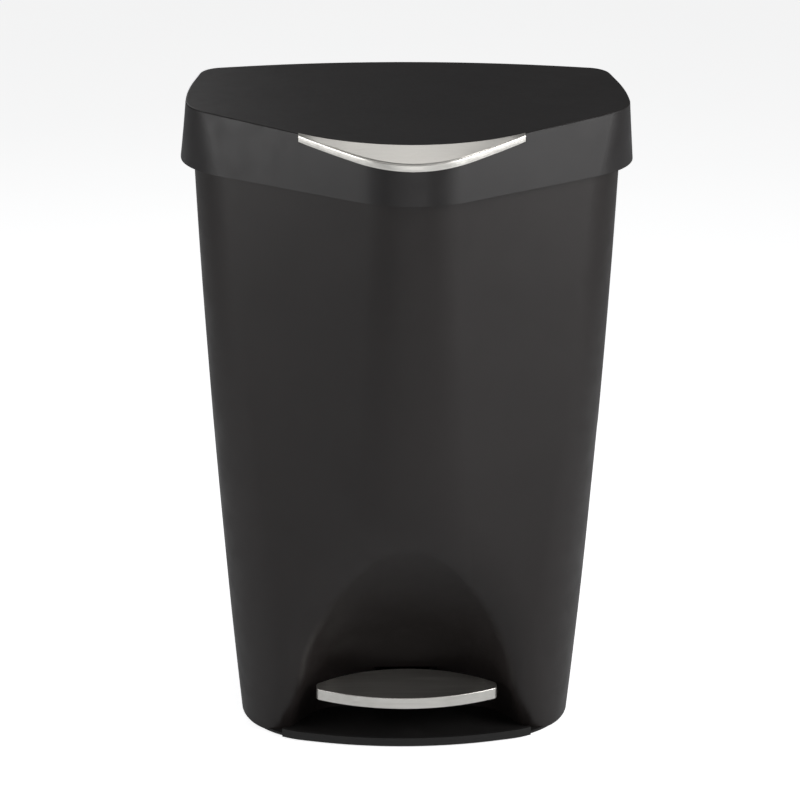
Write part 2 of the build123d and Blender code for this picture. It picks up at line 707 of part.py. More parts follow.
def grip_under(x, y):
    """Height of the pocket's floor under the grip at a place."""
    out = math.hypot(x, y - (grip_arc_front + grip_arc_r)) - grip_arc_r
    return lid_top_z(y) - out * grip_tan - grip_lip


with BuildPart() as lid_space:
    add(lid_hollow)
    add(grip_ring(40, grip_lip + lid_wall, lid_wall) & front_zone, mode=Mode.SUBTRACT)
    for x, y in bumper_places:
        add(bar_z(x, y, (bumper_high, lid_top_back + 70), bumper_r + 0.5), mode=Mode.SUBTRACT)

# ears that carry the lid on the hinge rod
with BuildPart() as lid_ears:
    for side in (-1, 1):
        xs = (side * lid_ear_x - lid_ear_width / 2, side * lid_ear_x + lid_ear_width / 2)
        add(block(xs, (hinge_y - 2.5, hinge_y + 8), (hinge_z, lid_top_back)))
        add(block(xs, (hinge_y - 16, hinge_y + 8), (rim_z + 9, lid_top_back + 5)))
        add(bar_x(xs, hinge_y, hinge_z, hinge_hub_r))
    add(lid_hollow, mode=Mode.INTERSECT)
    add(bar_x((-hinge_rod_half, hinge_rod_half), hinge_y, hinge_z, hinge_rod_r + run_gap),
        mode=Mode.SUBTRACT)

with BuildPart() as lid_shell:
    add(lid_solid(lid_edge_z, 0, 0))
    fillet(lid_shell.faces().sort_by(Axis.Z)[-1].edges(), lid_crease)
    add(lid_space.part, mode=Mode.SUBTRACT)
    add(grip_pocket, mode=Mode.SUBTRACT)
    add(lid_ears.part)
    for x, y in handle_screws:
        add(bar_z(x, y, (lid_edge_z, lid_top_back + 30), screw_r + hole_gap), mode=Mode.SUBTRACT)
save(lid_shell, "lid_shell")

with BuildPart() as lid_handle:
    add(lid_solid(lid_edge_z, -grip_overhang, 0))
    add(grip_ring(0, grip_lip - grip_fit / 2, -grip_fit) & front_zone, mode=Mode.INTERSECT)
    for x, y in handle_screws:
        add(bar_z(x, y, (lid_edge_z, grip_under(x, y) + 5), screw_r + hole_gap), mode=Mode.SUBTRACT)
save(lid_handle, "lid_handle")

with BuildPart() as grip_screws:
    for x, y in handle_screws:
        low = grip_under(x, y) - lid_wall - (screw_head_r + 2 * lid_wall) * grip_tan
        add(bar_z(x, y, (low - screw_head, low), screw_head_r))
        add(bar_z(x, y, (low - screw_head, grip_under(x, y) + 4), screw_r))
save(grip_screws, "handle_screws")

with BuildPart() as lid_bumpers:
    for x, y in bumper_places:
        add(bar_z(x, y, (bumper_low, bumper_high), bumper_r))
    fillet(lid_bumpers.edges().group_by(Axis.Z)[0], 1)
save(lid_bumpers, "lid_bumpers")

# ---------------------------------------------------------------- hinge
with BuildPart() as hinge_rod:
    add(bar_x((-hinge_rod_half, hinge_rod_half), hinge_y, hinge_z, hinge_rod_r))
    chamfer(hinge_rod.edges(), 0.5)
save(hinge_rod, "hinge_rod")

outer_form = body_solid(foot_height, rim_z, 0)
for side, name in ((-1, "hinge_bracket_left"), (1, "hinge_bracket_right")):
    middle = side * bracket_x
    hub = (middle - bracket_hub_width / 2, middle + bracket_hub_width / 2)
    plate = (middle - bracket_plate_width / 2, middle + bracket_plate_width / 2)
    plate_y = back_y(hinge_z, bracket_x) + bracket_plate_thickness
    with BuildPart() as bracket:
        add(block(plate, (plate_y - 10, plate_y),
                  (hinge_z - bracket_plate_height / 2, hinge_z + bracket_plate_height / 2 - 4)))
        fillet(bracket.edges().filter_by(Axis.Y), 3)
        add(block(hub, (plate_y - 10, hinge_y), (hinge_z - hinge_hub_r, hinge_z + hinge_hub_r)))
        add(bar_x(hub, hinge_y, hinge_z, hinge_hub_r))
        add(bar_x((hub[0] - 1, hub[1] + 1), hinge_y, hinge_z, hinge_rod_r + press_gap),
            mode=Mode.SUBTRACT)
        for x in bracket_screws:
            add(bar_y(x, (plate_y - 12, plate_y + 1), bracket_screw_z, screw_r + hole_gap), mode=Mode.SUBTRACT)
        add(outer_form, mode=Mode.SUBTRACT)
    save(bracket, name)

with BuildPart() as hinge_screws:
    for x in bracket_screws:
        plate_y = back_y(hinge_z, bracket_x) + bracket_plate_thickness
        add(bar_y(x, (plate_y, plate_y + screw_head), bracket_screw_z, screw_head_r - 0.5))
        add(bar_y(x, (back_y(hinge_z, x) - 10, plate_y + screw_head), bracket_screw_z, screw_r))
save(hinge_screws, "hinge_screws")

with BuildPart() as rod_caps:
    for side in (-1, 1):
        cap = sorted((side * (bracket_x + bracket_hub_width / 2 + 0.6),
                      side * (bracket_x + bracket_hub_width / 2 + 0.6 + hinge_cap_length)))
        add(bar_x(cap, hinge_y, hinge_z, hinge_cap_r))
        add(bar_x(cap, hinge_y, hinge_z, hinge_rod_r + press_gap), mode=Mode.SUBTRACT)
save(rod_caps, "hinge_rod_caps")

# ---------------------------------------------------------------- crank that lifts the lid
cheek_x = head_half + free_gap
crank_x = cheek_x + crank_cheek
with BuildPart() as lid_crank:
    for side in (-1, 1):
        xs = sorted((side * cheek_x, side * crank_x))
        with BuildSketch(Plane.YZ.offset(xs[0])):
            with BuildLine():
                Polyline((hinge_y, hinge_z + 5), (crank_pin_y - 2.5, crank_pin_z + 2.5),
                         (crank_pin_y + 2.5, crank_pin_z - 3), (hinge_y + 3, hinge_z - 5), close=True)
            make_face()
        extrude(amount=crank_cheek)
        add(bar_x(xs, crank_pin_y, crank_pin_z, crank_boss_r))
        add(bar_x(xs, hinge_y, hinge_z, hinge_hub_r))
        add(block(xs, (hinge_y - 2.2, hinge_y + 2), (hinge_z, rim_z + 8)))
    add(block((-crank_x, crank_x), (hinge_y - 2.2, hinge_y + 2), (hinge_z + 12, lid_top_back)))
    add(block((-crank_x, crank_x), (hinge_y - 24, hinge_y + 2), (rim_z + 22, lid_top_back)))
    add(lid_hollow, mode=Mode.INTERSECT)
    add(block((-crank_x - 1, crank_x + 1), (hinge_y - 30, hinge_y - 2.2), (rim_z, lid_top_back - 8)),
        mode=Mode.SUBTRACT)
    add(bar_x((-crank_x - 1, crank_x + 1), hinge_y, hinge_z, hinge_rod_r + run_gap), mode=Mode.SUBTRACT)
    add(bar_x((-crank_x - 1, crank_x + 1), crank_pin_y, crank_pin_z, crank_pin_r + press_gap),
        mode=Mode.SUBTRACT)
save(lid_crank, "lid_crank")

with BuildPart() as lid_crank_pin:
    add(bar_x((-crank_x, crank_x), crank_pin_y, crank_pin_z, crank_pin_r))
save(lid_crank_pin, "lid_crank_pin")
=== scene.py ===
import json
import math

import bmesh
import bpy
import numpy as np
from mathutils import Matrix, Vector


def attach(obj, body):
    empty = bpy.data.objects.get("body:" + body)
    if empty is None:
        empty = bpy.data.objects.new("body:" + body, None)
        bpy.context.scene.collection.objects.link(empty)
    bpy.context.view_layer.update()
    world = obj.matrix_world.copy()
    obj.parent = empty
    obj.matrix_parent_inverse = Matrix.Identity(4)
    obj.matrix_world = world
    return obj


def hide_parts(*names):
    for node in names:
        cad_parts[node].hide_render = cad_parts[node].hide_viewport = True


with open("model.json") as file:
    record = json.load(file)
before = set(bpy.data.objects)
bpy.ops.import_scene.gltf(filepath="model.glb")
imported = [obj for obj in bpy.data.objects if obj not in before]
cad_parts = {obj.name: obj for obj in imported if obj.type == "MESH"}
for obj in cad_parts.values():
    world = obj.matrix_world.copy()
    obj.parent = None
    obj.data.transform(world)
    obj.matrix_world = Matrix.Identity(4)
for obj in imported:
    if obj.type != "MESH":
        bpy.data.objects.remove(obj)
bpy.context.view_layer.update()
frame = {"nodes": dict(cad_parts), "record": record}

# Looks for the step-on waste bin.  Metres, in the same frame as the CAD model: +Z up, the
# pedal faces -Y.  The body and the lid's grip are remade here as meshes on the same outlines,
# worked out in millimetres.  Everything else keeps its CAD node, with better materials.

MM = 0.001


# ---------------------------------------------------------------- materials
NOISE_LOW, NOISE_HIGH = 0.3, 0.7     # range that most of a noise texture's values lie in


def shader(name, rough, metallic=0.0, specular=0.5):
    """A new node material, its Principled shader and its tools for wiring."""
    material = bpy.data.materials.new(name)
    material.use_nodes = True
    nodes = material.node_tree.nodes
    links = material.node_tree.links
    principled = nodes["Principled BSDF"]
    principled.inputs["Metallic"].default_value = metallic
    principled.inputs["Specular IOR Level"].default_value = specular
    principled.inputs["Roughness"].default_value = rough
    return material, nodes, links, principled


def noise(nodes, links, scale, detail=3.0, stretch=(1, 1, 1)):
    """Noise in object space, optionally stretched."""
    place = nodes.new("ShaderNodeTexCoord")
    mapping = nodes.new("ShaderNodeMapping")
    mapping.inputs["Scale"].default_value = stretch
    links.new(place.outputs["Object"], mapping.inputs["Vector"])
    texture = nodes.new("ShaderNodeTexNoise")
    texture.inputs["Scale"].default_value = scale
    texture.inputs["Detail"].default_value = detail
    links.new(mapping.outputs["Vector"], texture.inputs["Vector"])
    return texture.outputs["Fac"]


def ramp(nodes, links, source, low, high):
    """Colours noise between two colours."""
    node = nodes.new("ShaderNodeValToRGB")
    node.color_ramp.elements[0].position = NOISE_LOW
    node.color_ramp.elements[1].position = NOISE_HIGH
    node.color_ramp.elements[0].color = (*low, 1)
    node.color_ramp.elements[1].color = (*high, 1)
    links.new(source, node.inputs["Fac"])
    return node.outputs["Color"]


def spread(nodes, links, source, low, high):
    """Maps noise onto a range of values."""
    node = nodes.new("ShaderNodeMapRange")
    node.inputs["From Min"].default_value = NOISE_LOW
    node.inputs["From Max"].default_value = NOISE_HIGH
    node.inputs["To Min"].default_value = low
    node.inputs["To Max"].default_value = high
    links.new(source, node.inputs["Value"])
    return node.outputs["Result"]


def bump(nodes, links, principled, source, distance):
    """Bump from a value, its height in metres."""
    node = nodes.new("ShaderNodeBump")
    node.inputs["Strength"].default_value = 1.0
    node.inputs["Distance"].default_value = distance
    links.new(source, node.inputs["Height"])
    links.new(node.outputs["Normal"], principled.inputs["Normal"])


def moulded_plastic(name, dark, light, rough=(0.4, 0.5), grain=1400.0):
    """Satin moulded polypropylene: slow colour drift, uneven gloss and a fine spark-eroded grain."""
    material, nodes, links, principled = shader(name, rough[0], specular=0.35)
    drift = noise(nodes, links, 9.0, 2.0)
    links.new(ramp(nodes, links, drift, dark, light), principled.inputs["Base Color"])
    links.new(spread(nodes, links, noise(nodes, links, 40.0, 4.0), *rough), principled.inputs["Roughness"])
    bump(nodes, links, principled, noise(nodes, links, grain, 2.0), 0.03 * MM)
    return material


def satin_nickel(name, dark, light):
    """Satin nickel with fine brushing along X."""
    material, nodes, links, principled = shader(name, 0.34, metallic=1.0)
    brushed = noise(nodes, links, 260.0, 5.0, (0.03, 1, 1))
    links.new(ramp(nodes, links, brushed, dark, light), principled.inputs["Base Color"])
    links.new(spread(nodes, links, brushed, 0.34, 0.44), principled.inputs["Roughness"])
    bump(nodes, links, principled, brushed, 0.02 * MM)
    return material


def plated_steel(name):
    """Zinc-plated steel for the hidden hardware."""
    material, nodes, links, principled = shader(name, 0.35, metallic=1.0)
    blotch = noise(nodes, links, 300.0, 4.0)
    colour = ramp(nodes, links, blotch, (0.42, 0.42, 0.44), (0.6, 0.6, 0.6))
    links.new(colour, principled.inputs["Base Color"])
    links.new(spread(nodes, links, blotch, 0.28, 0.42), principled.inputs["Roughness"])
    return material


BODY_PLASTIC = moulded_plastic("body_plastic", (0.0125, 0.0098, 0.0092), (0.0155, 0.0125, 0.0118))
LID_PLASTIC = moulded_plastic("lid_plastic", (0.0135, 0.012, 0.0122), (0.017, 0.0152, 0.0152),
                              rough=(0.36, 0.46), grain=1100.0)
BASE_PLASTIC = moulded_plastic("base_plastic", (0.008, 0.0075, 0.0072), (0.011, 0.01, 0.0098),
                               rough=(0.5, 0.62))
BUSH_PLASTIC = moulded_plastic("bush_plastic", (0.55, 0.53, 0.48), (0.62, 0.6, 0.55),
                               rough=(0.35, 0.45))
NICKEL = satin_nickel("nickel", (0.66, 0.64, 0.60), (0.76, 0.74, 0.70))
ZINC = plated_steel("zinc_steel")
RUBBER = moulded_plastic("rubber", (0.01, 0.01, 0.01), (0.016, 0.016, 0.016),
                         rough=(0.7, 0.85), grain=600.0)

SLOTS = {"body_plastic": BODY_PLASTIC, "lid_plastic": LID_PLASTIC, "base_plastic": BASE_PLASTIC,
         "bush_plastic": BUSH_PLASTIC, "nickel": NICKEL, "zinc_steel": ZINC, "rubber": RUBBER}

for part in frame["record"]["subparts"]:
    node = frame["nodes"][part["node"]]
    for slot in node.material_slots:
        slot.material = SLOTS[part["material_slot"]]


# ---------------------------------------------------------------- outlines, in millimetres
ARC_STEP = 1.2               # length of the straight pieces that make an arc
LID_EDGE_Z = 654.0           # lower edge of the lid's skirt
RIM_TOP = 682.0
BODY_INSET = 15.0            # plan distance from the skirt's lower edge in to the body
BULGE = 4.7                  # how far the body's sides bow out of a straight taper


def mirrored(half):
    """Closed clockwise outline, from the middle of the back, from its right half."""
    left = [(-x, y, r) for x, y, r in reversed(half[1:-1])]
    return list(half) + left


def inset(points, distance):
    """The outline with every side moved inwards; the corner radii shrink with it."""
    moved = []
    for i, (x, y, r) in enumerate(points):
        before = points[i - 1]
        after = points[(i + 1) % len(points)]
        entry = Vector((x - before[0], y - before[1])).normalized()
        leave = Vector((after[0] - x, after[1] - y)).normalized()
        side_a = Vector((entry.y, -entry.x))
        side_b = Vector((leave.y, -leave.x))
        step = (side_a + side_b) * (distance / (1 + side_a.dot(side_b)))
        moved.append((x + step.x, y + step.y, r - distance))
    return moved


def half_line(points):
    """Fine points along the right half of an outline, from the nose round to the back."""
    count = len(points)
    nose = count // 2
    line = []
    for i in range(nose, -1, -1):
        x, y, r = points[i]
        after = points[(i + 1) % count]
        before = points[i - 1]
        come = Vector((x - after[0], y - after[1])).normalized()
        go = Vector((before[0] - x, before[1] - y)).normalized()
        turn = abs(come.angle_signed(go))
        reach = r * math.tan(turn / 2)
        start = Vector((x, y)) - come * reach
        left = Vector((-come.y, come.x))
        steps = 2 * max(2, math.ceil(turn * r / (2 * ARC_STEP)))
        for k in range(steps + 1):
            a = turn * k / steps
            point = start + come * (r * math.sin(a)) + left * (r * (1 - math.cos(a)))
            if point.x >= -1e-6:
                line.append((point.x, point.y))
    return np.array(line)


# corners (x, y, rounding) of the right half, from the middle of the back to the nose
LID_EDGE = mirrored([(0, 188.2, 1000), (238.5, 142.5, 35), (255.5, 62, 200), (247.5, -17, 105),
                     (0, -192.2, 98.5)])
BODY_FOOT = mirrored([(0, 161, 700), (180, 126.3, 25), (191.5, 40, 160), (189, -90, 98), (0, -137, 440)])
BODY_TOP = inset(mirrored([(0, 188.2, 1000), (238.5, 142.5, 35), (255.5, 62, 160), (247.5, -17, 103),
                           (0, -192.2, 98.5)]), BODY_INSET)


def nose_gap(points):
    """How far the nose's rounding stands back from its corner point, and the nose's slope."""
    nose = len(points) // 2
    slope = math.atan2(points[nose - 1][1] - points[nose][1], points[nose - 1][0])
    return points[nose][2] * (1 / math.cos(slope) - 1), slope


def body_outline(z):
    """Outside of the body at height z: a straight taper with a slight bow in the sides."""
    t = z / LID_EDGE_Z
    bow = 4 * BULGE * t * (1 - t)
    points = []
    for low, high in zip(BODY_FOOT, BODY_TOP):
        x, y, r = (a + (b - a) * t for a, b in zip(low, high))
        points.append((x + math.copysign(bow, x) if abs(x) > 1 else x, y, r))
    nose = len(points) // 2
    slope = nose_gap(points)[1]
    gap = nose_gap(BODY_FOOT)[0] * (1 - t) + nose_gap(BODY_TOP)[0] * t
    points[nose] = (0, points[nose][1], gap / (1 / math.cos(slope) - 1))
    return points


def resample(line, shares):
    """Points at given shares of a line's length."""
    steps = np.hypot(*np.diff(line, axis=0).T)
    length = np.concatenate([[0], np.cumsum(steps)])
    at = np.asarray(shares) * length[-1]
    return np.stack([np.interp(at, length, line[:, 0]), np.interp(at, length, line[:, 1])], axis=1)


# ---------------------------------------------------------------- toe recess, in millimetres
RECESS_FRONT, RECESS_BACK = -150.0, -25.0
RECESS_REACH = 345.0         # the recess has died out above this height
RECESS_WIDE = (146.0, 98.0)  # half width of its arch at the front and at the back
RECESS_TALL = (284.0, 80.0)  # height of its arch at the front and at the back
ARCH_POWER = 2.7             # 2 would be an ellipse
FLARE_TOP = 48.0             # height at which its spread at the floor has died out
FLARE = ((-130.0, -97.0, -75.0, -45.0, -25.0), (23.4, 27.4, 16.3, 6.3, 4.3))   # that spread by y
FOOT_Z = 2.0                 # lowest edge of the body
EDGE_ROUND = ((100.0, 190.0, 255.0), (32.0, 58.0, 95.0))     # softness of its edge by height
BACK_ROUND = 26.0            # softening between its sides and its back wall


def soft_max(a, b, k):
    """Larger of two values, rounded where they are closer than k."""
    h = np.maximum(k - np.abs(a - b), 0) / k
    return np.maximum(a, b) + h * h * k / 4


def recess_edge(x, y, z, grow):
    """Signed distance from the recess's surface, negative inside it, and the direction out of it."""
    back = y - RECESS_FRONT
    wide_fall = (RECESS_WIDE[0] - RECESS_WIDE[1]) / (RECESS_BACK - RECESS_FRONT)
    tall_fall = (RECESS_TALL[0] - RECESS_TALL[1]) / (RECESS_BACK - RECESS_FRONT)
    wide = np.maximum(RECESS_WIDE[0] - wide_fall * back + grow, 20.0)
    tall = np.maximum(RECESS_TALL[0] - tall_fall * back + grow, 20.0)
    dying = soft_max(1 - (z - FOOT_Z) / (FLARE_TOP - FOOT_Z), 0.0, 0.5)
    across = np.maximum(np.abs(x) - np.interp(y, *FLARE) * dying, 0.0) / wide
    up = z / tall
    level = np.maximum((across ** ARCH_POWER + up ** ARCH_POWER) ** (1 / ARCH_POWER), 0.05)
    gx = (across / level) ** (ARCH_POWER - 1) / wide
    gz = (up / level) ** (ARCH_POWER - 1) / tall
    gy = gx * (across * wide_fall + 0.4 * dying) + gz * up * tall_fall
    steep = np.sqrt(gx ** 2 + gy ** 2 + gz ** 2)
    return (level - 1) / steep, gx / steep * np.sign(x), gy / steep


def recessed(half, normal, z, grow):
    """Half ring with its front pushed back to follow the toe recess."""
    x, wall = half[:, 0], half[:, 1]
    facing = np.maximum(-normal[:, 1], 0.25)
    soft = np.interp(z, *EDGE_ROUND)

    def outside(y):
        side, ox, oy = recess_edge(x, y, z, grow)
        void = soft_max(side, y - RECESS_BACK - grow, BACK_ROUND)
        bend = 1 + normal[:, 0] * ox + normal[:, 1] * oy
        edge = np.clip(soft * bend, 1.5, 40.0)
        return soft_max((wall - y) * facing, -void, edge)

    low, high = wall - 3.0, np.full(len(x), 60.0)
    for _ in range(30):
        middle = (low + high) / 2
        empty = outside(middle) > 0
        low = np.where(empty, middle, low)
        high = np.where(empty, high, middle)
    y = np.where(wall < 40.0, np.maximum((low + high) / 2, wall), wall)
    return np.stack([x, y], axis=1)


# ---------------------------------------------------------------- mesh helpers
def add_mesh(name, verts, faces, material, body, replaced, sharp=32.0):
    """A finished mesh piece from points in millimetres."""
    mesh = bpy.data.meshes.new(name)
    mesh.from_pydata([tuple(v) for v in np.asarray(verts, float) * MM], [], faces)
    mesh.validate()
    tool = bmesh.new()
    tool.from_mesh(mesh)
    bmesh.ops.recalc_face_normals(tool, faces=tool.faces)
    tool.to_mesh(mesh)
    tool.free()
    mesh.update()
    for polygon in mesh.polygons:
        polygon.use_smooth = True
    mesh.set_sharp_from_angle(angle=math.radians(sharp))
    piece = bpy.data.objects.new(name, mesh)
    bpy.context.scene.collection.objects.link(piece)
    mesh.materials.append(material)
    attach(piece, body)
    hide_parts(*replaced)


class Grid:
    """Collects rings of points and the faces between them."""

    def __init__(self):
        self.verts = []
        self.faces = []

    def ring(self, points, z):
        start = len(self.verts)
        heights = np.broadcast_to(z, (len(points),))
        self.verts.extend((p[0], p[1], h) for p, h in zip(points, heights))
        return list(range(start, start + len(points)))

    def join(self, a, b, skip=None):
        count = len(a)
        for j in range(count):
            if skip is None or not skip[j]:
                k = (j + 1) % count
                self.faces.append((a[j], a[k], b[k], b[j]))

    def fill(self, ring):
        self.faces.append(tuple(ring))


# ---------------------------------------------------------------- body shell
FRONT_SHARE = 0.42           # share of the half outline that has the finer points
HALF_SHARES = np.concatenate([np.linspace(0, FRONT_SHARE, 190), np.linspace(FRONT_SHARE, 1, 84)[1:]])
GROOVE_X = 13.0              # half width of the rod's channel
GROOVE_Y = 130.0             # its front wall
WALL = 2.6
FLOOR = 81.0                 # inside floor of the bin
FLOOR_UNDER = FLOOR - 3.0
FOOT_ROUND = 2.4             # rounding of the body's lower edge
FLANGE_UNDER = 679.0         # lower face of the rim's flange
RIM_EDGE = 0.6               # bevel of the rim
RIM_WIDE = 8.0
WINDOW_TOP = 57.0            # window for the pedal lever in the recess's back wall
WINDOW_HALF = 38.0


def ring_normals(loop):
    """Outward directions of an open line of points that runs anticlockwise."""
    along = np.gradient(loop, axis=0)
    along /= np.maximum(np.hypot(along[:, 0], along[:, 1]), 1e-9)[:, None]
    return np.stack([along[:, 1], -along[:, 0]], axis=1)


def loop_at(z, distance, recess=True):
    """Ring of the body at a height: outline, toe recess and rod channel."""
    line = half_line(inset(body_outline(z), distance))
    edge = GROOVE_X + distance
    turn = np.where(line[:, 0] >= edge)[0].max()
    a, b = line[turn], line[turn + 1]
    cut = a + (b - a) * (a[0] - edge) / (a[0] - b[0])
    half = resample(np.vstack([line[:turn + 1], cut]), HALF_SHARES)
    if recess and z < RECESS_REACH:
        half = recessed(half, ring_normals(half), z, distance)
    wall_y = GROOVE_Y - distance
    channel = np.array([[edge, half[-1, 1] - 0.8], [edge, wall_y + 0.8], [edge, wall_y],
                        [edge - 0.8, wall_y], [0.0, wall_y]])
    half = np.vstack([half, channel])
    left = half[1:-1][::-1] * (-1, 1)
    return np.vstack([half, left])


def shrink(loop, distance):
    """A ring of points moved inwards along its own normals."""
    before = np.roll(loop, 1, axis=0)
    after = np.roll(loop, -1, axis=0)
    along = after - before
    along /= np.maximum(np.hypot(along[:, 0], along[:, 1]), 1e-9)[:, None]
    inward = np.stack([-along[:, 1], along[:, 0]], axis=1)
    return loop + inward * distance


def window_edges(grid, rings, lower, in_window, tall):
    """Faces through the wall along the window's top and its two sides."""
    count = len(in_window)
    for j in range(count):
        k = (j + 1) % count
        if in_window[j]:
            grid.faces.append((rings[tall][j], lower[tall][j], lower[tall][k], rings[tall][k]))
        if in_window[k] and not in_window[j]:
            for i in range(tall):
                grid.faces.append((rings[i][k], rings[i + 1][k], lower[i + 1][k], lower[i][k]))
        if in_window[j] and not in_window[k]:
            for i in range(tall):
                grid.faces.append((rings[i][k], lower[i][k], lower[i + 1][k], rings[i + 1][k]))


def make_body():
    """The body as one closed wall with its rim, bin floor, toe recess and rod channel."""
    grid = Grid()
    rows = list(np.arange(6.0, 330.0, 2.5)) + list(np.linspace(331.0, FLANGE_UNDER, 30))
    foot = [(FOOT_Z + FOOT_ROUND * (1 - math.cos(a)), FOOT_ROUND * (1 - math.sin(a)))
            for a in np.linspace(0.0, math.pi / 2, 6)]
    heights = [z for z, d in foot] + rows
    insets = [d for z, d in foot] + [0.0] * len(rows)
    rings = []
    for z, d in zip(heights, insets):
        loop = loop_at(z, 0.0)
        rings.append(grid.ring(shrink(loop, d) if d else loop, z))
    in_window = np.array([abs(p[0]) < WINDOW_HALF and p[1] < 0 for p in loop_at(30.0, 0.0)])
    window_rows = [z < WINDOW_TOP for z in heights]
    for i in range(len(rings) - 1):
        grid.join(rings[i], rings[i + 1], in_window if window_rows[i + 1] else None)
    # over the rim, in under its flange and down inside to the bin's floor
    last = rings[-1]
    for z, d in ((RIM_TOP - RIM_EDGE, 0.0), (RIM_TOP, RIM_EDGE), (RIM_TOP, RIM_WIDE - 0.4),
                 (RIM_TOP - RIM_EDGE, RIM_WIDE), (FLANGE_UNDER, RIM_WIDE), (FLANGE_UNDER, WALL)):
        ring = grid.ring(loop_at(FLANGE_UNDER, d, recess=False), z)
        grid.join(last, ring)
        last = ring
    for z in [z for z in reversed(rows) if FLOOR + 2 < z < FLANGE_UNDER] + [FLOOR + 1.5]:
        ring = grid.ring(loop_at(z, WALL), z)
        grid.join(last, ring)
        last = ring
    ring = grid.ring(shrink(loop_at(FLOOR, WALL), 1.5), FLOOR)
    grid.join(last, ring)
    grid.fill(ring)
    # inside the base, up to the floor's lower face
    lower = [grid.ring(loop_at(z, WALL), z)
             for z in [h for h in heights if h < FLOOR - 5] + [FLOOR_UNDER]]
    grid.join(lower[0], rings[0], in_window)
    for i in range(len(lower) - 1):
        grid.join(lower[i + 1], lower[i], in_window if window_rows[i + 1] else None)
    grid.fill(lower[-1][::-1])
    tall = max(i for i, in_row in enumerate(window_rows) if in_row)
    window_edges(grid, rings, lower, in_window, tall)
    add_mesh("body_moulding", grid.verts, grid.faces, BODY_PLASTIC, "body",
             ["body_shell"])


make_body()


# ---------------------------------------------------------------- grip on the lid's front
LID_TOP = mirrored([(0, 182, 1000), (229.7, 137.6, 28), (245.5, 56, 360), (245.5, -10, 55),
                    (0, -188.5, 100)])
TILT = math.tan(math.radians(3.88))
LID_BACK = 733.5             # height of the lid's top near its back
LID_DEPTH = 340.0
GRIP_HALF = 121.0            # half width of the grip
GRIP_FRONT = -139.0          # inner edge of the grip's face at its middle
GRIP_END_BEHIND = 3.0        # depth of the face at its ends
GRIP_FALL = 12.2             # how far its front edge falls below the lid's top at its middle
GRIP_LIP = 7.6               # height of its front band
GRIP_PROUD = 3.5             # how far the band stands out of the lid


def lid_top_z(y):
    """Height of the lid's flat top at a place y."""
    return LID_BACK + (y - 0.48 * LID_DEPTH) * TILT


def lid_outline(z, distance):
    """Plan of the lid's outside at a height, moved inwards."""
    points = []
    for (ex, ey, er), (tx, ty, tr) in zip(inset(LID_EDGE, distance), inset(LID_TOP, distance)):
        t = (z - LID_EDGE_Z) / (lid_top_z(ty) - LID_EDGE_Z)
        points.append((ex + (tx - ex) * t, ey + (ty - ey) * t, er + (tr - er) * t))
    return points


def front_y(x, z, distance):
    """Place of the lid's front surface at an x and a height."""
    line = half_line(lid_outline(z, distance))
    front = line[line[:, 1] < 60.0]
    return np.interp(np.abs(x), front[:, 0], front[:, 1])


def make_grip():
    """A satin metal strip: sloping face, a groove before its rounded front band, and closed ends."""
    columns = 161
    x = np.linspace(-GRIP_HALF, GRIP_HALF, columns)
    end_y = float(front_y(GRIP_HALF, 712.0, 0.0)) + GRIP_END_BEHIND
    sag = end_y - GRIP_FRONT
    arc = (GRIP_HALF ** 2 + sag ** 2) / (2 * sag)
    back = GRIP_FRONT + arc - np.sqrt(arc ** 2 - x ** 2)
    back_z = lid_top_z(back) + 0.05
    edge = front_y(x, 705.0, -GRIP_PROUD)
    fall = GRIP_FALL * (1 - np.abs(x / GRIP_HALF) ** 1.7)
    edge_z = lid_top_z(edge) - fall
    depth = np.maximum(back - edge, 1.0)
    # profile across the strip: (share of the way forward, millimetres forward, drop below the face)
    profile = [(0.0, 0.25, 0.0), (0.03, 0.3, 0.0), (0.25, 0, 0.0), (0.5, 0, 0.0), (0.75, 0, 0.0),
               (0.9, 0, 0.0),
               (1.0, -2.6, 0.0), (1.0, -2.2, 0.12), (1.0, -1.9, 0.75), (1.0, -1.5, 0.95), (1.0, -1.1, 0.8),
               (1.0, -0.8, 0.35), (1.0, -0.4, 0.3), (1.0, -0.12, 0.5), (1.0, 0.0, 0.9), (1.0, 0.05, 2.4),
               (1.0, 0.05, GRIP_LIP * 0.6), (1.0, 0.0, GRIP_LIP - 0.7), (1.0, -0.2, GRIP_LIP - 0.2),
               (1.0, -0.7, GRIP_LIP), (1.0, -GRIP_PROUD, GRIP_LIP)]
    rows = []
    for share, ahead, drop in profile:
        room = np.minimum(depth / 6.0, 1.0)
        y = back + (edge - back) * share - ahead * np.where(share == 1.0, room, 1.0)
        on_face = np.clip((back - y) / depth, 0, 1)
        z = back_z + (edge_z - back_z) * on_face - drop * np.where(drop < 1.0, room, 1.0)
        rows.append(np.stack([x, y, z], axis=1))
    rows.append(np.stack([x, back, np.minimum(back_z, edge_z - GRIP_LIP)], axis=1))
    verts = np.concatenate(rows)
    faces = []
    for i in range(len(rows)):
        k = (i + 1) % len(rows)
        for j in range(columns - 1):
            a, b = i * columns + j, k * columns + j
            faces.append((a, b, b + 1, a + 1))
    faces.append(tuple(i * columns for i in range(len(rows)))[::-1])
    faces.append(tuple(i * columns + columns - 1 for i in range(len(rows))))
    add_mesh("lid_grip", verts, faces, NICKEL, "lid", ["lid_handle"], sharp=50.0)


make_grip()


# ---------------------------------------------------------------- stage
FLOOR_HALF = 8.0
FLOOR_SEEN = 0.78            # light that the floor itself gives, to the camera and to the object
FLOOR_GLOW = 0.15
SKY_SEEN = 1.0
SKY_GLOW = 0.12


